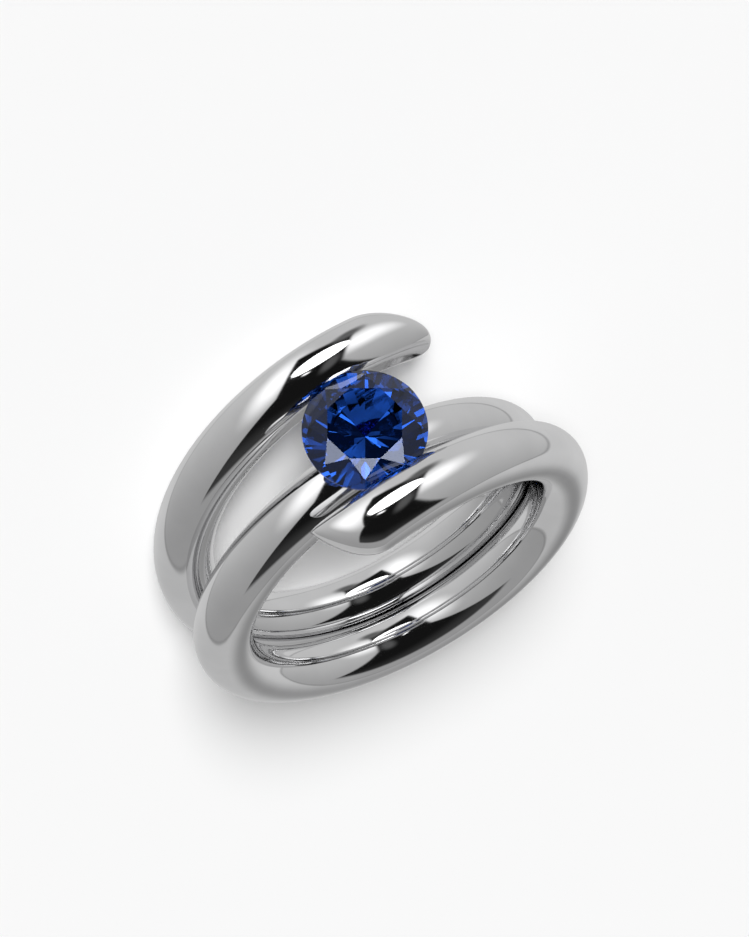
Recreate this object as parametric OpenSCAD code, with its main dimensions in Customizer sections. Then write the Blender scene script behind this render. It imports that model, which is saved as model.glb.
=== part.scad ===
// Tension set ring: one polished steel rod coiled a little over two times round the finger.
// Its two free ends rise over the middle turn and grip a round cut stone between them.
// Turn angles are in degrees round the finger: 0 is the top of the middle turn, under the stone.
// Negative angles run along the rod to its front end, positive angles to its back end.

/* [Rod] */
// Width of the finger hole inside the turns
finger_d = 17.3; // [16:0.1:20]
// Thickness of the round rod
rod_d = 3.4; // [3.2:0.05:3.6]
// Air between two turns that lie side by side
turn_gap = 0.1; // [0.08:0.01:0.2]
// Turn angle over which the middle turn crosses from one side to the other
cross_turn = 150; // [140:1:160]
// How far the middle turn sinks towards the finger under the stone
middle_dip = 0.3; // [0:0.05:0.5]

/* [Free ends] */
// Turn angle at the very tip of the front end
front_tip_turn = 378.5; // [376:0.5:382]
// Turn angle at the very tip of the back end
back_tip_turn = 390; // [388:0.5:394]
// Turn angle over which the front end rounds off to its tip
front_nose = 14; // [10:0.5:18]
// Turn angle over which the back end rounds off to its tip
back_nose = 16; // [13:0.5:20]
// How far the front end climbs outward
front_rise = 2.6; // [2.4:0.05:2.8]
// Turn angle where the front end begins to climb
front_rise_from = 179; // [172:1:186]
// Turn angle where the front end has climbed all the way
front_rise_to = 352; // [346:1:358]
// Turn angle where the front end begins to swing aside
front_swing_from = 272.5; // [268:0.5:278]
// Turn angle where the front end has swung aside all the way
front_swing_to = 393.5; // [388:0.5:400]
// How far the back end climbs outward
back_rise = 2.75; // [2.6:0.05:2.9]
// Turn angle where the back end begins to climb
back_rise_from = 261; // [256:1:266]
// Turn angle where the back end has climbed all the way
back_rise_to = 371; // [366:1:376]
// Turn angle where the back end begins to swing aside
back_swing_from = 176; // [170:1:182]
// Depth of the flat that is ground on each end to face the stone
flat_depth = 0.1; // [0.08:0.01:0.15]
// Turn angle where the flats begin
flat_from = 335; // [330:1:345]

/* [Stone] */
// Width of the stone at its girdle
stone_d = 6.9; // [6.5:0.1:7.2]
// Width of the table, as a share of the stone's width
table_share = 0.586; // [0.54:0.002:0.62]
// Height of the crown, as a share of the stone's width
crown_share = 0.15; // [0.13:0.005:0.17]
// Depth of the pavilion, as a share of the stone's width
pavilion_share = 0.42; // [0.4:0.005:0.44]
// Height of the girdle where it is thinnest, as a share of the stone's width
girdle_share = 0.02; // [0.01:0.005:0.03]
// Reach of a star facet from the table towards the girdle, as a share of the way
star_share = 0.73; // [0.45:0.01:0.75]
// Reach of a lower girdle facet from the girdle towards the culet, as a share of the way
lower_share = 0.78; // [0.7:0.02:0.84]
// How deep the girdle sits in the groove of each flat
bite = 0.38; // [0.3:0.01:0.42]
// Air round the stone in its groove and over its seat
stone_clear = 0.04; // [0.03:0.01:0.06]
// Lean of the stone towards the front end
stone_lean = 8; // [0:0.5:9]
// Turn of the facets about the stone's own axis
facet_turn = 41; // [0:1:45]

/* [Hidden] */

// Round rod and the circle that its centre line follows
rod_r = rod_d / 2;
coil_r = finger_d / 2 + rod_r;
half_pitch = rod_r + turn_gap / 2;

// Place of the stone: sideways, along the rods and out from the finger
stone_r = stone_d / 2;
stone_side = -0.59;
stone_along = 0.93;
girdle_over_ends = 0.24;
stone_out = coil_r + (front_rise + back_rise) / 2 + girdle_over_ends;
stone_turn = asin(stone_along / stone_out);

// Slant of each end to the plane of the coil beside the stone
front_slant = 8.3;
back_slant = 7.5;

// How late in its way the front end climbs and the back end swings aside
front_rise_power = 2.2;
back_swing_power = 1.6;

// Turn angle over which each flat eases in
flat_ease = 20;
// How the ends are rounded off, seen from outside and seen from the stone
nose_power = 0.75;
tip_power = 6;

// Fineness of the swept rod
sides = 36;
coil_step = 5;
nose_rings = 9;

// Turn angles where the underside of the coil and the back end touch the ground
ground_turn = 195;
ground_end_turn = 376;

function clamp01(t) = min(1, max(0, t));

// Share of the way between two turn angles, 0 before the first
function way(u, from, to) = max(0, (u - from) / (to - from));

// Share of each end's climb, which sinks again a little past its top, and of its swing aside
function front_climb(u) = sin(90 * way(u, front_rise_from, front_rise_to) ^ front_rise_power);
function back_climb(u) = sin(90 * way(u, back_rise_from, back_rise_to)) ^ 2;
function front_aside(u) = (1 - cos(180 * min(1, way(u, front_swing_from, front_swing_to)))) / 2;
function back_aside(u) = way(u, back_swing_from, 360) ^ back_swing_power;

// Sideways way of each end, set by the stone that it holds
function reach(slant) = (stone_r - bite + rod_r - flat_depth) / cos(slant);
front_swing = (stone_side + reach(front_slant) - half_pitch) / front_aside(360 - stone_turn);
back_swing = (-stone_side + reach(back_slant) - half_pitch) / back_aside(360 + stone_turn);

// Smooth step of the middle turn from one side to the other
function crossing(t) =
    let (s = max(-1, min(1, t)))
    s * (15 - 10 * s ^ 2 + 3 * s ^ 4) / 8;

// Sideways place of the rod's centre line
function side(a) = a < 0
    ? half_pitch * crossing(-a / cross_turn) + front_swing * front_aside(-a)
    : -half_pitch * crossing(a / cross_turn) - back_swing * back_aside(a);

// Distance of the rod's centre line from the middle of the finger
function radius(a) = coil_r
    - (abs(a) < 180 ? middle_dip * ((1 + cos(a)) / 2) ^ 2 : 0)
    + (a < 0 ? front_rise * front_climb(-a) : back_rise * back_climb(a));

// Centre line of the rod, with the finger along Z and the stone towards -Y
function centre(a) = [-radius(a) * sin(a), -radius(a) * cos(a), side(a)];

function unit(v) = v / norm(v);
function along(a) = unit(centre(a + 0.05) - centre(a - 0.05));
function outward(a) =
    let (t = along(a), o = [-sin(a), -cos(a), 0])
    unit(o - (o * t) * t);

// Middle of the stone's girdle
stone_at = [-stone_along, -stone_out, stone_side];

// Turn angles of each end's tip and of the start of its rounding
function tip_turn(a) = a < 0 ? front_tip_turn : back_tip_turn;
function nose_turn(a) = tip_turn(a) - (a < 0 ? front_nose : back_nose);

// How far the flat has come in at a turn angle, and how far the rounding has gone
function flat_at(a) =
    let (t = clamp01((abs(a) - flat_from) / flat_ease))
    flat_depth * t ^ 2 * (3 - 2 * t);
function nose_at(a) = clamp01((abs(a) - nose_turn(a)) / (tip_turn(a) - nose_turn(a)));

// One ring of points round the rod: flat towards the stone, drawn in to the flat as the end rounds off
function ring(a) =
    let (c = centre(a), o = outward(a), s = a < 0 ? -1 : 1, w = s * cross(along(a), o),
         flat = rod_r - flat_at(a), t = nose_at(a),
         thin = (1 - t ^ 2) ^ nose_power, tall = sqrt(1 - t ^ tip_power))
    [for (i = [0 : sides - 1])
        let (b = s * 360 * i / sides, q = min(rod_r * sin(b), flat))
        c + rod_r * cos(b) * tall * o + (flat - (flat - q) * thin) * w];

// Turn angles of the rings, closer together towards the tips
function nose_turns(s) = [for (k = [1 : nose_rings - 1])
    s * (nose_turn(s) + (tip_turn(s) - nose_turn(s)) * sin(90 * k / nose_rings))];
front_rings = ceil(nose_turn(-1) / coil_step);
back_rings = ceil(nose_turn(1) / coil_step);
front_noses = nose_turns(-1);
ring_turns = concat(
    [for (k = [nose_rings - 2 : -1 : 0]) front_noses[k]],
    [for (i = [front_rings : -1 : 1]) -nose_turn(-1) * i / front_rings],
    [for (i = [0 : back_rings]) nose_turn(1) * i / back_rings],
    nose_turns(1));

// Point at the very tip of an end, on its flat
function tip(s) =
    let (a = s * tip_turn(s))
    centre(a) + (rod_r - flat_depth) * s * cross(along(a), outward(a));

rod_points = concat([tip(-1)], [for (a = ring_turns) each ring(a)], [tip(1)]);

// Pose of the ring lying on its side, on the underside of its coil and of its back end
up = unit(cross(centre(ground_end_turn) - centre(ground_turn), along(ground_turn)));
across = unit([1, 0, 0] - up[0] * up);
depth = cross(up, across);
function lying(p) = [p * across, p * depth, p * up];

// Origin at the middle of the outline, on the ground
lying_points = [for (p = rod_points) lying(p)];
function column(points, i) = [for (p = points) p[i]];
low = [for (i = [0 : 2]) min(column(lying_points, i))];
high = [for (i = [0 : 2]) max(column(lying_points, i))];
shift = [-(low[0] + high[0]) / 2, -(low[1] + high[1]) / 2, -low[2]];

// Puts what is drawn with the finger along Z into the lying pose
module lay_down() {
    multmatrix([
        [across[0], across[1], across[2], shift[0]],
        [depth[0], depth[1], depth[2], shift[1]],
        [up[0], up[1], up[2], shift[2]]])
        children();
}

// Puts what is drawn round the stone's own axis, table towards +Z, into its place
module at_stone() {
    translate(stone_at) rotate([90 - stone_lean, 0, 0]) children();
}

// Faces of a rod swept through rings of points, closed to a point at each end
ring_count = len(ring_turns);
last_point = len(rod_points) - 1;
function at(r, i) = 1 + r * sides + i % sides;
rod_faces = concat(
    [for (i = [0 : sides - 1]) [0, at(0, i), at(0, i + 1)]],
    [for (r = [0 : ring_count - 2], i = [0 : sides - 1]) each [
        [at(r, i), at(r + 1, i), at(r + 1, i + 1)],
        [at(r, i), at(r + 1, i + 1), at(r, i + 1)]]],
    [for (i = [0 : sides - 1]) [last_point, at(ring_count - 1, i + 1), at(ring_count - 1, i)]]);

// Heights of the stone from the middle of its girdle, and the slopes of its main facets
girdle_h = girdle_share * stone_d;
crown_h = crown_share * stone_d;
pavilion_h = pavilion_share * stone_d;
table_r = table_share * stone_r / cos(22.5);
bezel_slope = crown_h / (stone_r - table_r);
main_slope = pavilion_h / stone_r;

// Corner radius of the facets before the girdle is rounded, and the height that this adds at the corners
corner_r = stone_r / cos(11.25);
scallop = main_slope * (corner_r - stone_r);

// Tips of the star facets and of the lower girdle facets
star_r = table_r * cos(22.5) + star_share * (stone_r - table_r * cos(22.5));
star_z = girdle_h / 2 + crown_h - bezel_slope * (star_r * cos(22.5) - table_r);
lower_r = stone_r * (1 - lower_share);
lower_z = -girdle_h / 2 - pavilion_h + main_slope * lower_r * cos(22.5);

// The room that the stone takes up, with the air round it
module stone_room() {
    half = girdle_h / 2 + scallop + stone_clear;
    rotate_extrude($fn = 96)
        polygon([
            [0, -half - pavilion_h],
            [lower_r + stone_clear, lower_z - stone_clear],
            [stone_r + stone_clear, -half],
            [stone_r + stone_clear, half],
            [star_r + stone_clear, star_z + stone_clear],
            [0, half + crown_h]]);
}

// The coiled rod, one solid, with a groove in each flat and a seat for the culet
module band() {
    color("silver")
        lay_down()
            difference() {
                polyhedron(points = rod_points, faces = rod_faces, convexity = 6);
                at_stone() stone_room();
            }
}

// Points of the round brilliant cut: eight table corners, eight star tips, the girdle, lower tips, culet
function polar(r, angle, z) = [r * cos(angle), r * sin(angle), z];
table_corners = [for (k = [0 : 7]) polar(table_r, 45 * k, girdle_h / 2 + crown_h)];
star_tips = [for (k = [0 : 7]) polar(star_r, 45 * k + 22.5, star_z)];
girdle_top = [for (k = [0 : 15]) polar(corner_r, 22.5 * k, girdle_h / 2)];
girdle_foot = [for (k = [0 : 15]) polar(corner_r, 22.5 * k, -girdle_h / 2)];
lower_tips = [for (k = [0 : 7]) polar(lower_r, 45 * k + 22.5, lower_z)];
stone_points = concat(table_corners, star_tips, girdle_top, girdle_foot, lower_tips,
    [[0, 0, -girdle_h / 2 - pavilion_h]]);

// Places of each kind of point in the stone's list
function tc(k) = k % 8;
function st(k) = 8 + (k + 8) % 8;
function gt(k) = 16 + (k + 16) % 16;
function gf(k) = 32 + (k + 16) % 16;
function lt(k) = 48 + (k + 8) % 8;
culet = 56;
stone_faces = concat(
    [[for (k = [7 : -1 : 0]) tc(k)]],
    [for (k = [0 : 7]) each [
        [tc(k), tc(k + 1), st(k)],
        [tc(k), st(k), gt(2 * k)],
        [tc(k), gt(2 * k), st(k - 1)],
        [st(k), gt(2 * k + 1), gt(2 * k)],
        [st(k), gt(2 * k + 2), gt(2 * k + 1)],
        [culet, gf(2 * k), lt(k)],
        [culet, lt(k - 1), gf(2 * k)],
        [lt(k), gf(2 * k), gf(2 * k + 1)],
        [lt(k), gf(2 * k + 1), gf(2 * k + 2)]]],
    [for (k = [0 : 15]) [gt(k), gt(k + 1), gf(k + 1), gf(k)]]);

// The round brilliant cut stone: flat facets cut round at the girdle
module stone() {
    color("royalblue")
        lay_down() at_stone() rotate(facet_turn)
            intersection() {
                polyhedron(points = stone_points, faces = stone_faces, convexity = 2);
                cylinder(r = stone_r, h = 2 * pavilion_h + 2 * crown_h, center = true, $fn = 96);
            }
}

band();
stone();
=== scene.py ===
# Tension set ring: a coiled polished steel rod that grips a blue stone, on a pale studio floor.
# Lengths are in millimetres, or in metres where a name ends in _M; a mesh is turned to metres when it
# is laid down. Angles are in degrees. Turn angles go round the finger: 0 is the top of the middle
# turn, under the stone. Negative ones run to the front end of the rod, positive ones to its back end.
import math
from collections import namedtuple

import bmesh
import bpy
import numpy as np
from mathutils import Matrix, Vector


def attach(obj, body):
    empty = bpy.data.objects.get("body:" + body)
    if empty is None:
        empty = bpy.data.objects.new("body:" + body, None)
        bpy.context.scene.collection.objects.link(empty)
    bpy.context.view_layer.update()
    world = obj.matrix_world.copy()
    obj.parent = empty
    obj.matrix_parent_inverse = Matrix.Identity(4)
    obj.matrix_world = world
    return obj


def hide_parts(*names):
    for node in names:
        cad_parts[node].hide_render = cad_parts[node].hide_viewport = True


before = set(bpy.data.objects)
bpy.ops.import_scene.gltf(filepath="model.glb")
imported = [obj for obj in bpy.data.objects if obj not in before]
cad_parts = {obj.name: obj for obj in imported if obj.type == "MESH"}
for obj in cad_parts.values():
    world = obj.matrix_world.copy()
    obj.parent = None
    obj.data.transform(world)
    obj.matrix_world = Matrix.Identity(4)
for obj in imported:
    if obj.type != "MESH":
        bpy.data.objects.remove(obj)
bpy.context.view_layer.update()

MM = 0.001

# The photograph's frame and the camera that took it
PICTURE_HEIGHT_PX = 937
FOCAL_LENGTH_PX = 2946
SENSOR_HEIGHT = 24.0
CLIP_START_M = 0.005
VIEW_AZIMUTH = -80.29
VIEW_ELEVATION = 34.55
VIEW_ROLL = 148.86
VIEW_DISTANCE = 170.86
VIEW_AIM = (-1.446, -1.89, 2.648)

# Rod and coil
FINGER_D = 17.3
ROD_R = 1.7
TURN_GAP = 0.1
CROSS_TURN = 150
MIDDLE_DIP = 0.3
COIL_R = FINGER_D / 2 + ROD_R
HALF_PITCH = ROD_R + TURN_GAP / 2

# Free ends: how far and over which turn angles each one climbs outward and swings aside
FRONT_RISE = 2.6
FRONT_RISE_FROM = 179
FRONT_RISE_TO = 352
FRONT_RISE_POWER = 2.2
FRONT_SWING_FROM = 272.5
FRONT_SWING_TO = 393.5
FRONT_SLANT = 8.3
BACK_RISE = 2.75
BACK_RISE_FROM = 261
BACK_RISE_TO = 371
BACK_SWING_FROM = 176
BACK_SWING_POWER = 1.6
BACK_SLANT = 7.5

# Flats that face the stone, and the rounding over which each end closes to its tip
FRONT_TIP_TURN = 378.5
BACK_TIP_TURN = 390
FRONT_NOSE = 14
BACK_NOSE = 16
FLAT_DEPTH = 0.1
FLAT_FROM = 335
FLAT_EASE = 20
NOSE_POWER = 0.75
TIP_POWER = 6
RIM_SOFTNESS = 0.02

# Stone: its facets, its seat between the ends and its place
STONE_R = 3.45
TABLE_SHARE = 0.586
CROWN_SHARE = 0.15
PAVILION_SHARE = 0.42
GIRDLE_SHARE = 0.02
STAR_SHARE = 0.73
LOWER_SHARE = 0.78
FACET_STEP = 45
HALF_STEP = FACET_STEP / 2
QUARTER_STEP = FACET_STEP / 4
BITE = 0.38
STONE_CLEAR = 0.04
STONE_LEAN = 8
FACET_TURN = 41
STONE_SIDE = -0.59
STONE_ALONG = 0.93
GIRDLE_OVER_ENDS = 0.24
STONE_OUT = COIL_R + (FRONT_RISE + BACK_RISE) / 2 + GIRDLE_OVER_ENDS

# Turn angles that touch the ground as the ring lies on its side
GROUND_TURN = 195
GROUND_END_TURN = 376

# Fineness of the meshes
RING_STEP = 1.5
NOSE_RINGS = 44
FLAT_SIDES = 7
ROUND_SIDES = 80
RIM_STEPS = (-3.4, -2.2, -1.1, 0, 1.1, 2.2, 3.4)
RIM_MARGIN = 5
GIRDLE_SIDES = 192
SHARP_ANGLE = 35

# Small steps, and the least lengths and divisors
TURN_NUDGE = 0.05
CUT_TOLERANCE = 1e-6
LEAST_DIVISOR = 1e-4
TINY = 1e-9

# Mirrored studio. Places are degrees right of and below the way back to the photograph's camera.
# A patch or lamp is an oval whose length is turned from straight down towards the right.
Gradient = namedtuple("Gradient", "upper lower start end")
Patch = namedtuple("Patch", "light middle turn half_length half_width softness")
BAND_TURN = 19
WHITE = 1.45

# Grey panel: round, with a straight slant at its lower right and a dark line round its edge
PANEL = Gradient(upper=0.64, lower=0.37, start=-90, end=100)
PANEL_MIDDLE = (-1, -12)
PANEL_R = 118
PANEL_SLANT = (0.781, 0.625)
PANEL_SLANT_DISTANCE = 98
PANEL_CORNER_SOFTNESS = 12
PANEL_EDGE_SOFTNESS = 0.7
EDGE_LINE_LIGHT = 0.2
EDGE_LINE_SHARE = 0.5
EDGE_LINE_FADE = (0.4, 2.2)

# Walls past the panel, evened out straight behind the ring
FAR = Gradient(upper=0.68, lower=0.56, start=0, end=110)
FAR_DIM = Patch(0.3, (88, 120), 0, 46, 42, 0.8)
BEHIND_LIGHT = 0.6
BEHIND_FADE = (140, 176)

# Glows on the panel
GLOWS = (
    Patch(WHITE, (28, -45), 10, 21, 16, 0.9),
    Patch(WHITE, (-34, -38), BAND_TURN, 36, 14, 0.9),
)

# Dark opening before the panel: its left side slants above an upright stretch, its right side slants
# more below a bend than above it, and patches of light show in it
OPENING = Gradient(upper=0.008, lower=0.045, start=30, end=70)
OPENING_LEFT = -8
OPENING_LEFT_LEVEL = -9
OPENING_LEFT_SLANT = 0.387
OPENING_LEFT_FADE = (-1, 1.5)
OPENING_RIGHT_BEND = (33, -5)
OPENING_RIGHT_SLANTS = (0.39, 0.78)
OPENING_RIGHT_FADE = (-2, 2)
OPENING_MIDDLE = (0, -18)
OPENING_ROUND_FADE = (89, 98)
OPENING_TOP_FADE = (68, 76)
IN_OPENING = (
    Patch(0.11, (21, -13), BAND_TURN, 16, 5, 0.6),
    Patch(0.14, (0, -76), BAND_TURN, 12, 10, 0.6),
    Patch(WHITE, (2, -17), 60, 4, 1.8, 0.3),
)

# Plain light on the floor, the backdrop, and the light and shade that shows through the stone
PLAIN_LIGHT = 0.21
PLAIN_BACKDROP = 0.94
STONE_DARK = 0.04
STONE_LIGHT = 3.2
STONE_PATCH_SCALE = 7
STONE_PATCH_DETAIL = 2
STONE_PATCH_FROM = 0.51
STONE_PATCH_TO = 0.71

# Lamps: the oval window that the steel mirrors, and three glints on the stone's star facets
Lamp = namedtuple("Lamp", "middle turn half_length half_width radiance")
LAMP_DISTANCE_M = 2.5
WINDOW = Lamp((-1, -41), BAND_TURN, 18, 17.5, 2 * WHITE)
GLINTS = (
    Lamp((-1, 15.6), 0, 7, 7, 7.5),
    Lamp((36.7, 0.8), 0, 7, 7, 8),
    Lamp((-38.9, 1.2), 0, 7, 7, 6),
)

# Soft suns on the floor, and the floor
Sun = namedtuple("Sun", "azimuth elevation width strength")
SUNS = (
    Sun(-80.3, 34.5, 14, 1.8),
    Sun(-90, 24.5, 17, 3.93),
)
FLOOR_REACH_M = 6.0


# Rod: the rules of its centre line and of its section
def way(turn, start, end):
    """Share of the way between two turn angles, 0 before the first."""
    return np.maximum(0, (turn - start) / (end - start))


def front_climb(turn):
    return np.sin(np.radians(90 * way(turn, FRONT_RISE_FROM, FRONT_RISE_TO) ** FRONT_RISE_POWER))


def back_climb(turn):
    return np.sin(np.radians(90 * way(turn, BACK_RISE_FROM, BACK_RISE_TO))) ** 2


def front_aside(turn):
    share = np.minimum(1, way(turn, FRONT_SWING_FROM, FRONT_SWING_TO))
    return (1 - np.cos(np.radians(180 * share))) / 2


def back_aside(turn):
    return way(turn, BACK_SWING_FROM, 360) ** BACK_SWING_POWER


def reach(slant):
    """Sideways way from the stone's axis to a free end's centre line."""
    return (STONE_R - BITE + ROD_R - FLAT_DEPTH) / math.cos(math.radians(slant))


STONE_TURN = math.degrees(math.asin(STONE_ALONG / STONE_OUT))
FRONT_SWING = (STONE_SIDE + reach(FRONT_SLANT) - HALF_PITCH) / front_aside(360 - STONE_TURN)
BACK_SWING = (-STONE_SIDE + reach(BACK_SLANT) - HALF_PITCH) / back_aside(360 + STONE_TURN)


def crossing(share):
    """Smooth step from -1 to 1, by which the middle turn crosses from one side to the other."""
    s = np.clip(share, -1, 1)
    return s * (15 - 10 * s**2 + 3 * s**4) / 8


def side(turn):
    """Sideways place of the rod's centre line."""
    front = HALF_PITCH * crossing(-turn / CROSS_TURN) + FRONT_SWING * front_aside(-turn)
    back = -HALF_PITCH * crossing(turn / CROSS_TURN) - BACK_SWING * back_aside(turn)
    return np.where(turn < 0, front, back)


def radius(turn):
    """Distance of the rod's centre line from the middle of the finger."""
    under_stone = ((1 + np.cos(np.radians(turn))) / 2) ** 2
    dip = np.where(np.abs(turn) < 180, MIDDLE_DIP * under_stone, 0)
    rise = np.where(turn < 0, FRONT_RISE * front_climb(-turn), BACK_RISE * back_climb(turn))
    return COIL_R - dip + rise


def centre(turn):
    """Centre line of the rod, with the finger along Z and the stone towards -Y."""
    turn = np.asarray(turn, float)
    q = np.radians(turn)
    return np.stack([-radius(turn) * np.sin(q), -radius(turn) * np.cos(q), side(turn)], -1)


def unit(v):
    return v / np.linalg.norm(v, axis=-1, keepdims=True)


def along(turn):
    return unit(centre(turn + TURN_NUDGE) - centre(turn - TURN_NUDGE))


def outward(turn):
    """Direction away from the finger, square to the centre line."""
    t, q = along(turn), np.radians(turn)
    o = np.stack([-np.sin(q), -np.cos(q), 0 * q], -1)
    return unit(o - (o * t).sum(-1, keepdims=True) * t)


def soft_min(a, b, softness):
    """The smaller of two lengths, rounded where they cross."""
    near = np.clip(1 - np.abs(a - b) / np.maximum(softness, TINY), 0, 1)
    return np.minimum(a, b) - near * near * softness / 4


def rod_rings(turns, angles):
    """Rings of points round the rod, flat towards the stone and rounded off to the tips."""
    sign = np.where(turns < 0, -1.0, 1.0)[:, None]
    tip_turn = np.where(turns < 0, FRONT_TIP_TURN, BACK_TIP_TURN)
    nose = np.where(turns < 0, FRONT_NOSE, BACK_NOSE)
    middle, out = centre(turns), outward(turns)
    to_stone = sign * np.cross(along(turns), out)
    ease = np.clip((np.abs(turns) - FLAT_FROM) / FLAT_EASE, 0, 1)
    ground = (ease**2 * (3 - 2 * ease))[:, None]
    flat = ROD_R - FLAT_DEPTH * ground
    t = np.clip((np.abs(turns) - tip_turn + nose) / nose, 0, 1)[:, None]
    thin, tall = (1 - t**2) ** NOSE_POWER, np.sqrt(1 - t**TIP_POWER)
    angle = sign * np.radians(angles)[None]
    height = ROD_R * np.cos(angle) * tall
    bulge = soft_min(ROD_R * np.sin(angle), flat, RIM_SOFTNESS * ground)
    across = flat - (flat - bulge) * thin
    return middle[:, None] + height[..., None] * out[:, None] + across[..., None] * to_stone[:, None]


def tip_point(sign):
    """Point at the very tip of an end, on its flat; the sign is -1 for the front end."""
    turn = sign * (FRONT_TIP_TURN if sign < 0 else BACK_TIP_TURN)
    return centre(turn) + (ROD_R - FLAT_DEPTH) * sign * np.cross(along(turn), outward(turn))


def section_angles():
    """Angles round the section, closer together at the two rims of a flat."""
    rim = math.degrees(math.asin((ROD_R - FLAT_DEPTH) / ROD_R))
    near_rim = np.array(RIM_STEPS)
    flat = np.linspace(rim + RIM_MARGIN, 180 - RIM_MARGIN - rim, FLAT_SIDES)
    round_part = np.linspace(180 + RIM_MARGIN - rim, 360 - RIM_MARGIN + rim, ROUND_SIDES)
    return np.concatenate([rim + near_rim, flat, 180 - rim + near_rim, round_part])


def ring_turns():
    """Turn angles of the rings, closer together towards the tips."""
    u = np.sin(np.radians(90 * np.arange(1, NOSE_RINGS) / NOSE_RINGS))
    front_start, back_start = FRONT_TIP_TURN - FRONT_NOSE, BACK_TIP_TURN - BACK_NOSE
    coil = np.linspace(-front_start, back_start, round((front_start + back_start) / RING_STEP))
    return np.concatenate([(-front_start - FRONT_NOSE * u)[::-1], coil, back_start + BACK_NOSE * u])


def rod_mesh(rings):
    """Mesh of the rod through its rings, closed to a point at each end."""
    count, sides = rings.shape[:2]
    points = np.concatenate([[tip_point(-1)], rings.reshape(-1, 3), [tip_point(1)]])
    last = len(points) - 1

    def at(ring, i):
        return 1 + ring * sides + i % sides

    faces = [(0, at(0, i), at(0, i + 1)) for i in range(sides)]
    faces += [(at(r, i), at(r + 1, i), at(r + 1, i + 1), at(r, i + 1))
              for r in range(count - 1) for i in range(sides)]
    faces += [(last, at(count - 1, i + 1), at(count - 1, i)) for i in range(sides)]
    mesh = bpy.data.meshes.new("band")
    mesh.from_pydata(points.tolist(), [], faces)
    return mesh


# The lying pose
def lying_matrix(points):
    """Turns the finger-along-Z frame onto the ground, with the outline's middle at the origin."""
    up = unit(np.cross(centre(GROUND_END_TURN) - centre(GROUND_TURN), along(GROUND_TURN)))
    right = unit(np.array([1.0, 0, 0]) - up[0] * up)
    rows = np.stack([right, np.cross(up, right), up])
    lying = points @ rows.T
    low, high = lying.min(0), lying.max(0)
    shift = np.array([-(low[0] + high[0]) / 2, -(low[1] + high[1]) / 2, -low[2]])
    matrix = Matrix.Identity(4)
    for i in range(3):
        matrix[i][:3] = rows[i]
        matrix[i][3] = shift[i]
    return matrix


def to_metres(mesh, lay_down):
    mesh.transform(Matrix.Scale(MM, 4) @ lay_down)
    mesh.update()


def add_object(name, data):
    obj = bpy.data.objects.new(name, data)
    bpy.context.scene.collection.objects.link(obj)
    return obj


# Stone: heights and radii of its facets
CROWN_H = CROWN_SHARE * 2 * STONE_R
PAVILION_H = PAVILION_SHARE * 2 * STONE_R
GIRDLE_H = GIRDLE_SHARE * 2 * STONE_R
HALF_STEP_COS = math.cos(math.radians(HALF_STEP))
TABLE_R = TABLE_SHARE * STONE_R / HALF_STEP_COS
CORNER_R = STONE_R / math.cos(math.radians(QUARTER_STEP))
BEZEL_SLOPE = CROWN_H / (STONE_R - TABLE_R)
MAIN_SLOPE = PAVILION_H / STONE_R
TABLE_Z = GIRDLE_H / 2 + CROWN_H
TABLE_SIDE_R = TABLE_R * HALF_STEP_COS
STAR_R = TABLE_SIDE_R + STAR_SHARE * (STONE_R - TABLE_SIDE_R)
STAR_Z = TABLE_Z - BEZEL_SLOPE * (STAR_R * HALF_STEP_COS - TABLE_R)
LOWER_R = STONE_R * (1 - LOWER_SHARE)
CULET_Z = -GIRDLE_H / 2 - PAVILION_H
LOWER_Z = CULET_Z + MAIN_SLOPE * LOWER_R * HALF_STEP_COS
BLANK_H = 3 * PAVILION_H


def polar(r, angle, z):
    return Vector((r * math.cos(math.radians(angle)), r * math.sin(math.radians(angle)), z))


def facet_planes():
    """Three points of each facet's plane: table, crown above the girdle, pavilion below it."""
    planes = [tuple(polar(1, turn, TABLE_Z) for turn in (0, 120, 240))]
    culet = polar(0, 0, CULET_Z)
    for main in range(0, 360, FACET_STEP):
        half = main + HALF_STEP
        corner, next_corner = polar(TABLE_R, main, TABLE_Z), polar(TABLE_R, main + FACET_STEP, TABLE_Z)
        star, last_star = polar(STAR_R, half, STAR_Z), polar(STAR_R, half - FACET_STEP, STAR_Z)
        lower, last_lower = polar(LOWER_R, half, LOWER_Z), polar(LOWER_R, half - FACET_STEP, LOWER_Z)
        planes += [(corner, next_corner, star), (corner, star, last_star), (culet, lower, last_lower)]
        for turn in (main, half):
            for tip, z in ((star, GIRDLE_H / 2), (lower, -GIRDLE_H / 2)):
                planes.append((tip, polar(CORNER_R, turn, z), polar(CORNER_R, turn + HALF_STEP, z)))
    return planes


def mesh_of(bm, name):
    mesh = bpy.data.meshes.new(name)
    bm.to_mesh(mesh)
    bm.free()
    return mesh


def stone_mesh():
    """The cut stone, sliced plane by plane from a round blank."""
    bm = bmesh.new()
    bmesh.ops.create_cone(bm, cap_ends=True, segments=GIRDLE_SIDES,
                          radius1=STONE_R, radius2=STONE_R, depth=BLANK_H)
    for a, b, c in facet_planes():
        normal = (b - a).cross(c - a).normalized()
        if normal.dot(a) < 0:
            normal.negate()
        cut = bmesh.ops.bisect_plane(bm, geom=bm.verts[:] + bm.edges[:] + bm.faces[:],
                                     dist=CUT_TOLERANCE, plane_co=a, plane_no=normal, clear_outer=True)
        edges = [e for e in cut["geom_cut"] if isinstance(e, bmesh.types.BMEdge)]
        bmesh.ops.contextual_create(bm, geom=edges)
    bmesh.ops.recalc_face_normals(bm, faces=bm.faces)
    bm.transform(Matrix.Rotation(math.radians(FACET_TURN), 4, "Z"))
    return mesh_of(bm, "stone")


def stone_place():
    lean = Matrix.Rotation(math.radians(90 - STONE_LEAN), 4, "X")
    return Matrix.Translation((-STONE_ALONG, -STONE_OUT, STONE_SIDE)) @ lean


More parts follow.
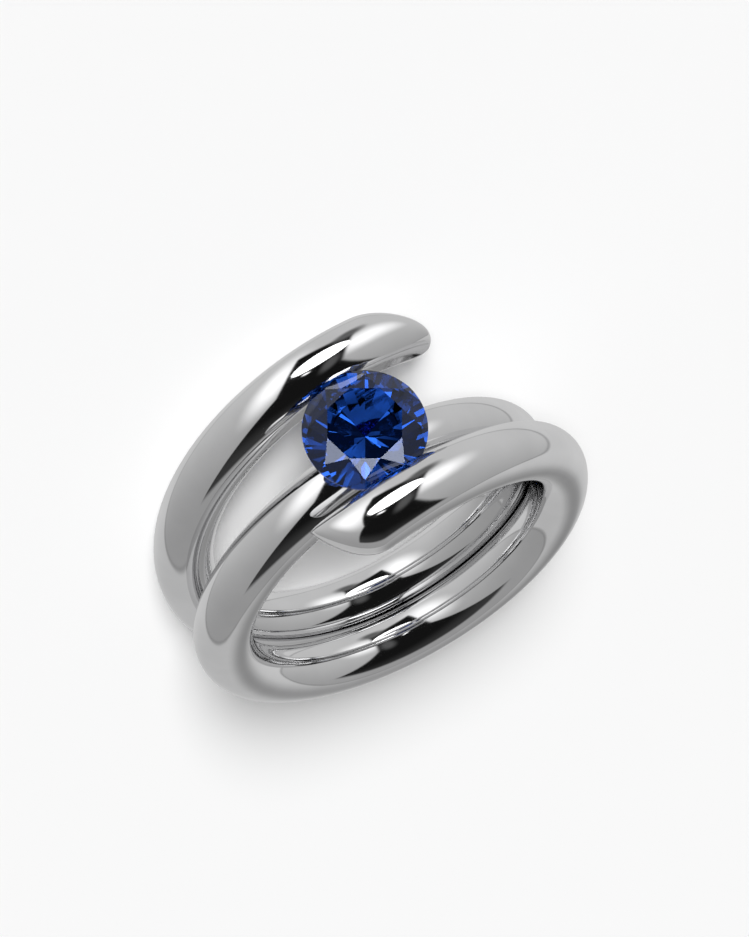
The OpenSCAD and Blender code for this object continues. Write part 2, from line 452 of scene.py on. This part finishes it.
def stone_room():
    """The room cut into the rod for the stone: a turned solid with the air round it."""
    scallop = MAIN_SLOPE * (CORNER_R - STONE_R)
    half = GIRDLE_H / 2 + scallop + STONE_CLEAR
    outline = (
        (LOWER_R + STONE_CLEAR, LOWER_Z - STONE_CLEAR),
        (STONE_R + STONE_CLEAR, -half),
        (STONE_R + STONE_CLEAR, half),
        (STAR_R + STONE_CLEAR, STAR_Z + STONE_CLEAR),
    )
    bm = bmesh.new()
    rings = [[bm.verts.new(polar(r, 360 * i / GIRDLE_SIDES, z)) for i in range(GIRDLE_SIDES)]
             for r, z in outline]
    foot = bm.verts.new((0, 0, -half - PAVILION_H))
    top = bm.verts.new((0, 0, half + CROWN_H))
    for i in range(GIRDLE_SIDES):
        j = (i + 1) % GIRDLE_SIDES
        bm.faces.new((foot, rings[0][j], rings[0][i]))
        for below, above in zip(rings, rings[1:]):
            bm.faces.new((below[i], below[j], above[j], above[i]))
        bm.faces.new((top, rings[-1][i], rings[-1][j]))
    mesh = mesh_of(bm, "stone_room")
    mesh.transform(stone_place())
    return mesh


def cut_out(obj, cutter_mesh):
    """Cuts the grooves of the girdle and the seat of the culet into the rod."""
    cutter = add_object("cutter", cutter_mesh)
    modifier = obj.modifiers.new("grooves", "BOOLEAN")
    modifier.operation = "DIFFERENCE"
    modifier.solver = "MANIFOLD"
    modifier.object = cutter
    graph = bpy.context.evaluated_depsgraph_get()
    mesh = bpy.data.meshes.new_from_object(obj.evaluated_get(graph))
    obj.modifiers.clear()
    obj.data = mesh
    bpy.data.objects.remove(cutter)


# Materials
def new_material(name, values):
    """A material whose shader has the given values on its own sockets."""
    material = bpy.data.materials.new(name)
    material.use_nodes = True
    tree = material.node_tree
    shader = tree.nodes["Principled BSDF"]
    for socket, value in values.items():
        shader.inputs[socket].default_value = value
    return material, tree, shader


def noise(tree, place, scale, detail):
    node = tree.nodes.new("ShaderNodeTexNoise")
    node.inputs["Scale"].default_value = scale
    node.inputs["Detail"].default_value = detail
    tree.links.new(place, node.inputs["Vector"])
    return node.outputs["Fac"]


def tint(tree, share, start, start_colour, end, end_colour):
    """Colour that goes from one to the other as the share goes from start to end."""
    ramp = tree.nodes.new("ShaderNodeValToRGB")
    first, last = ramp.color_ramp.elements
    first.position, first.color = start, (*start_colour, 1)
    last.position, last.color = end, (*end_colour, 1)
    tree.links.new(share, ramp.inputs["Fac"])
    return ramp.outputs["Color"]


def stretch(tree, share, low, high):
    node = tree.nodes.new("ShaderNodeMapRange")
    node.inputs["To Min"].default_value = low
    node.inputs["To Max"].default_value = high
    tree.links.new(share, node.inputs["Value"])
    return node.outputs["Result"]


def bump(tree, height, strength, depth):
    node = tree.nodes.new("ShaderNodeBump")
    node.inputs["Strength"].default_value = strength
    node.inputs["Distance"].default_value = depth
    tree.links.new(height, node.inputs["Height"])
    return node.outputs["Normal"]


def polished_steel():
    """Mirror polish, with the faint cloudiness and very fine grain of a steel that is worn."""
    material, tree, shader = new_material("polished_steel", {"Metallic": 1, "IOR": 2.5})
    place = tree.nodes.new("ShaderNodeTexCoord").outputs["Object"]
    cloud = noise(tree, place, scale=420, detail=3)
    grain = noise(tree, place, scale=2600, detail=2)
    colour = tint(tree, cloud, 0.3, (0.74, 0.74, 0.745), 0.7, (0.79, 0.79, 0.795))
    tree.links.new(colour, shader.inputs["Base Color"])
    tree.links.new(stretch(tree, cloud, 0.035, 0.09), shader.inputs["Roughness"])
    tree.links.new(bump(tree, grain, strength=0.02, depth=0.02 * MM), shader.inputs["Normal"])
    return material


def blue_stone():
    """Clear deep blue stone, with a faint unevenness of colour and polish."""
    values = {"Transmission Weight": 1, "IOR": 1.77, "Specular Tint": (0.45, 0.5, 0.65, 1)}
    material, tree, shader = new_material("blue_stone", values)
    place = tree.nodes.new("ShaderNodeTexCoord").outputs["Object"]
    cloud = noise(tree, place, scale=300, detail=2)
    colour = tint(tree, cloud, 0.35, (0.011, 0.07, 0.43), 0.65, (0.016, 0.093, 0.51))
    tree.links.new(colour, shader.inputs["Base Color"])
    tree.links.new(stretch(tree, cloud, 0.0, 0.02), shader.inputs["Roughness"])
    return material


def pale_floor():
    values = {"Base Color": (0.9, 0.9, 0.9, 1), "Roughness": 1, "Specular IOR Level": 0}
    return new_material("pale_floor", values)[0]


# Camera
def view_axes():
    """Right, down and back axes of the photograph's view."""
    az, el, roll = (math.radians(a) for a in (VIEW_AZIMUTH, VIEW_ELEVATION, VIEW_ROLL))
    back = Vector((math.cos(el) * math.cos(az), math.cos(el) * math.sin(az), math.sin(el)))
    level = Vector((-math.sin(az), math.cos(az), 0))
    upright = back.cross(level)
    right = math.cos(roll) * level + math.sin(roll) * upright
    up = -math.sin(roll) * level + math.cos(roll) * upright
    return right, -up, back


def add_camera():
    right, down, back = view_axes()
    data = bpy.data.cameras.new("camera")
    data.sensor_fit = "VERTICAL"
    data.sensor_height = SENSOR_HEIGHT
    data.lens = FOCAL_LENGTH_PX * SENSOR_HEIGHT / PICTURE_HEIGHT_PX
    data.clip_start = CLIP_START_M
    camera = add_object("camera", data)
    turn = Matrix((right, -down, back)).transposed().to_4x4()
    camera.matrix_world = Matrix.Translation((Vector(VIEW_AIM) + VIEW_DISTANCE * back) * MM) @ turn
    bpy.context.scene.camera = camera


# Studio
class Sums:
    """Adds arithmetic nodes to a tree; a term is a socket or a number."""

    def __init__(self, tree):
        self.tree = tree

    def fill(self, socket, term):
        if isinstance(term, bpy.types.NodeSocket):
            self.tree.links.new(term, socket)
        else:
            socket.default_value = term

    def do(self, operation, *terms):
        node = self.tree.nodes.new("ShaderNodeMath")
        node.operation = operation
        for socket, term in zip(node.inputs, terms):
            self.fill(socket, term)
        return node.outputs[0]

    def dot(self, vector, axis):
        node = self.tree.nodes.new("ShaderNodeVectorMath")
        node.operation = "DOT_PRODUCT"
        self.tree.links.new(vector, node.inputs[0])
        node.inputs[1].default_value = axis
        return node.outputs["Value"]

    def length(self, a, b):
        """Length of the long side of a right triangle with sides a and b."""
        return self.do("SQRT", self.do("ADD", self.do("MULTIPLY", a, a), self.do("MULTIPLY", b, b)))

    def fade(self, value, start, end):
        """1 up to the start and 0 past the end, eased between them."""
        node = self.tree.nodes.new("ShaderNodeMapRange")
        node.interpolation_type = "SMOOTHSTEP"
        self.fill(node.inputs["Value"], value)
        self.fill(node.inputs["From Min"], start)
        self.fill(node.inputs["From Max"], end)
        node.inputs["To Min"].default_value = 1
        node.inputs["To Max"].default_value = 0
        return node.outputs["Result"]

    def blend(self, below, above, share):
        """The lower value, with the upper one laid over it by a share."""
        return self.do("ADD", below, self.do("MULTIPLY", share, self.do("SUBTRACT", above, below)))


def sky_place(sums, direction):
    """Place of each direction of the studio, in degrees right and down."""
    right, down, back = view_axes()
    x, y = sums.dot(direction, right), sums.dot(direction, down)
    angle = sums.do("DEGREES", sums.do("ARCCOSINE", sums.dot(direction, back)))
    scale = sums.do("DIVIDE", angle, sums.do("MAXIMUM", sums.length(x, y), LEAST_DIVISOR))
    return sums.do("MULTIPLY", x, scale), sums.do("MULTIPLY", y, scale)


def distance(sums, x, y, middle):
    return sums.length(sums.do("SUBTRACT", x, middle[0]), sums.do("SUBTRACT", y, middle[1]))


def gradient(sums, y, lights):
    return sums.blend(lights.lower, lights.upper, sums.fade(y, lights.start, lights.end))


def add_patch(sums, light, x, y, patch):
    """The light with an oval patch laid over it, whose soft edge is a share of its size."""
    dx, dy = sums.do("SUBTRACT", x, patch.middle[0]), sums.do("SUBTRACT", y, patch.middle[1])
    c, s = math.cos(math.radians(patch.turn)), math.sin(math.radians(patch.turn))
    along_it = sums.do("ADD", sums.do("MULTIPLY", dx, s), sums.do("MULTIPLY", dy, c))
    across_it = sums.do("SUBTRACT", sums.do("MULTIPLY", dx, c), sums.do("MULTIPLY", dy, s))
    size = sums.length(sums.do("DIVIDE", along_it, patch.half_length),
                       sums.do("DIVIDE", across_it, patch.half_width))
    return sums.blend(light, patch.light, sums.fade(size, 1 - patch.softness, 1 + patch.softness))


def panel_depth(sums, x, y):
    """Degrees inside the edge of the grey panel, which is round but for a slanting lower right side."""
    to_round = sums.do("SUBTRACT", PANEL_R, distance(sums, x, y, PANEL_MIDDLE))
    slant_x, slant_y = PANEL_SLANT
    outward_way = sums.do("ADD", sums.do("MULTIPLY", slant_x, x), sums.do("MULTIPLY", slant_y, y))
    to_slant = sums.do("SUBTRACT", PANEL_SLANT_DISTANCE, outward_way)
    return sums.do("SMOOTH_MIN", to_round, to_slant, PANEL_CORNER_SOFTNESS)


def dark_opening(sums, x, y):
    """Share of the dark opening, which leans to the right and widens on the way down."""
    slanting = sums.do("ADD", OPENING_LEFT_LEVEL, sums.do("MULTIPLY", OPENING_LEFT_SLANT, y))
    left = sums.do("MINIMUM", OPENING_LEFT, slanting)
    bend_x, bend_y = OPENING_RIGHT_BEND
    below_bend = sums.do("SUBTRACT", y, bend_y)
    slants = [sums.do("MULTIPLY", slant, below_bend) for slant in OPENING_RIGHT_SLANTS]
    right = sums.do("ADD", bend_x, sums.do("MAXIMUM", *slants))
    share = sums.fade(sums.do("SUBTRACT", left, x), *OPENING_LEFT_FADE)
    for value, (start, end) in (
            (sums.do("SUBTRACT", x, right), OPENING_RIGHT_FADE),
            (distance(sums, x, y, OPENING_MIDDLE), OPENING_ROUND_FADE),
            (sums.do("MULTIPLY", y, -1), OPENING_TOP_FADE)):
        share = sums.do("MULTIPLY", share, sums.fade(value, start, end))
    return share


def mirrored_light(sums, direction):
    """Light of the studio that the steel and the stone mirror."""
    x, y = sky_place(sums, direction)
    within = panel_depth(sums, x, y)
    far = add_patch(sums, gradient(sums, y, FAR), x, y, FAR_DIM)
    far = sums.blend(BEHIND_LIGHT, far, sums.fade(distance(sums, x, y, (0, 0)), *BEHIND_FADE))
    past_edge = sums.fade(within, -PANEL_EDGE_SOFTNESS, PANEL_EDGE_SOFTNESS)
    light = sums.blend(gradient(sums, y, PANEL), far, past_edge)
    near_edge = sums.fade(sums.do("ABSOLUTE", within), *EDGE_LINE_FADE)
    light = sums.blend(light, EDGE_LINE_LIGHT, sums.do("MULTIPLY", EDGE_LINE_SHARE, near_edge))
    for patch in GLOWS:
        light = add_patch(sums, light, x, y, patch)
    light = sums.blend(light, gradient(sums, y, OPENING), dark_opening(sums, x, y))
    for patch in IN_OPENING:
        light = add_patch(sums, light, x, y, patch)
    return light


def stone_light(sums, direction):
    """Patchy light and shade that shows through the stone."""
    patches = noise(sums.tree, direction, scale=STONE_PATCH_SCALE, detail=STONE_PATCH_DETAIL)
    return sums.blend(STONE_LIGHT, STONE_DARK, sums.fade(patches, STONE_PATCH_FROM, STONE_PATCH_TO))


def studio():
    """A world that shows each kind of ray its own light: camera, glossy, through the stone, plain."""
    world = bpy.data.worlds.new("studio")
    bpy.context.scene.world = world
    world.use_nodes = True
    tree = world.node_tree
    sums = Sums(tree)
    direction = tree.nodes.new("ShaderNodeTexCoord").outputs["Generated"]
    ray = tree.nodes.new("ShaderNodeLightPath").outputs
    light = sums.blend(PLAIN_LIGHT, PLAIN_BACKDROP, ray["Is Camera Ray"])
    light = sums.blend(light, mirrored_light(sums, direction), ray["Is Glossy Ray"])
    light = sums.blend(light, stone_light(sums, direction), ray["Is Transmission Ray"])
    background = tree.nodes["Background"]
    background.inputs["Color"].default_value = (1, 1, 1, 1)
    tree.links.new(light, background.inputs["Strength"])


def place_direction(x, y):
    """Direction of a place in the studio."""
    right, down, back = view_axes()
    angle = math.hypot(x, y)
    aside = (x * right + y * down) / max(angle, TINY)
    return math.cos(math.radians(angle)) * back + math.sin(math.radians(angle)) * aside


def place_lamp(lamp, middle, turn):
    """Sets a lamp at its distance from the ring, facing it, with its long side at its turn."""
    x, y = middle
    direction = place_direction(x, y)
    ahead = place_direction(x + math.sin(math.radians(turn)), y + math.cos(math.radians(turn)))
    long_axis = (ahead - ahead.dot(direction) * direction).normalized()
    axes = Matrix((long_axis.cross(direction), long_axis, direction)).transposed().to_4x4()
    lamp.matrix_world = Matrix.Translation(LAMP_DISTANCE_M * direction) @ axes


def add_lamp(name, values, receiver, blockers):
    """An oval lamp that one piece mirrors and that nothing else in the scene receives or sees."""
    data = bpy.data.lights.new(name, "AREA")
    data.shape = "ELLIPSE"
    data.size = 2 * LAMP_DISTANCE_M * math.tan(math.radians(values.half_width))
    data.size_y = 2 * LAMP_DISTANCE_M * math.tan(math.radians(values.half_length))
    area = math.pi * data.size * data.size_y / 4
    data.energy = values.radiance * math.pi * area
    lamp = add_object(name, data)
    place_lamp(lamp, values.middle, values.turn)
    lamp.visible_camera = False
    lamp.visible_diffuse = False
    lamp.visible_transmission = False
    for kind, pieces in (("receiver", [receiver]), ("blocker", blockers)):
        linked = bpy.data.collections.new(name + "_" + kind)
        for piece in pieces:
            linked.objects.link(piece)
        setattr(lamp.light_linking, kind + "_collection", linked)


def add_sun(values):
    """Soft light on the floor from the camera's side; its shadow shows below the ring in the picture."""
    data = bpy.data.lights.new("sun", "SUN")
    data.energy = values.strength
    data.angle = math.radians(values.width)
    sun = add_object("sun", data)
    towards = polar(1, values.azimuth, math.tan(math.radians(values.elevation)))
    sun.rotation_mode = "QUATERNION"
    sun.rotation_quaternion = towards.to_track_quat("Z", "Y")
    sun.visible_glossy = False
    sun.visible_transmission = False


def add_floor():
    mesh = bpy.data.meshes.new("floor")
    corners = ((-1, -1), (1, -1), (1, 1), (-1, 1))
    points = [(x * FLOOR_REACH_M, y * FLOOR_REACH_M, 0) for x, y in corners]
    mesh.from_pydata(points, [], [(0, 1, 2, 3)])
    floor = add_object("floor", mesh)
    mesh.materials.append(pale_floor())
    floor.visible_glossy = False
    floor.visible_transmission = False


# Pieces
def add_band(lay_down, rings):
    band = add_object("steel_band", rod_mesh(rings))
    cut_out(band, stone_room())
    mesh = band.data
    mesh.name = "steel_band"
    mesh.polygons.foreach_set("use_smooth", [True] * len(mesh.polygons))
    mesh.set_sharp_from_angle(angle=math.radians(SHARP_ANGLE))
    to_metres(mesh, lay_down)
    mesh.materials.clear()
    mesh.materials.append(polished_steel())
    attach(band, "root")
    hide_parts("band")
    return band


def add_stone(lay_down):
    mesh = stone_mesh()
    to_metres(mesh, lay_down @ stone_place())
    mesh.materials.append(blue_stone())
    stone = add_object("cut_stone", mesh)
    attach(stone, "root")
    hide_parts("stone")
    return stone


def main():
    bpy.context.scene.view_settings.view_transform = "Standard"
    add_camera()
    studio()
    add_floor()
    rings = rod_rings(ring_turns(), section_angles())
    lay_down = lying_matrix(rings.reshape(-1, 3))
    band = add_band(lay_down, rings)
    stone = add_stone(lay_down)
    add_lamp("window", WINDOW, band, [band, stone])
    for k, glint in enumerate(GLINTS):
        add_lamp(f"glint_{k}", glint, stone, [band, stone])
    for sun in SUNS:
        add_sun(sun)
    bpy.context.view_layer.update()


main()
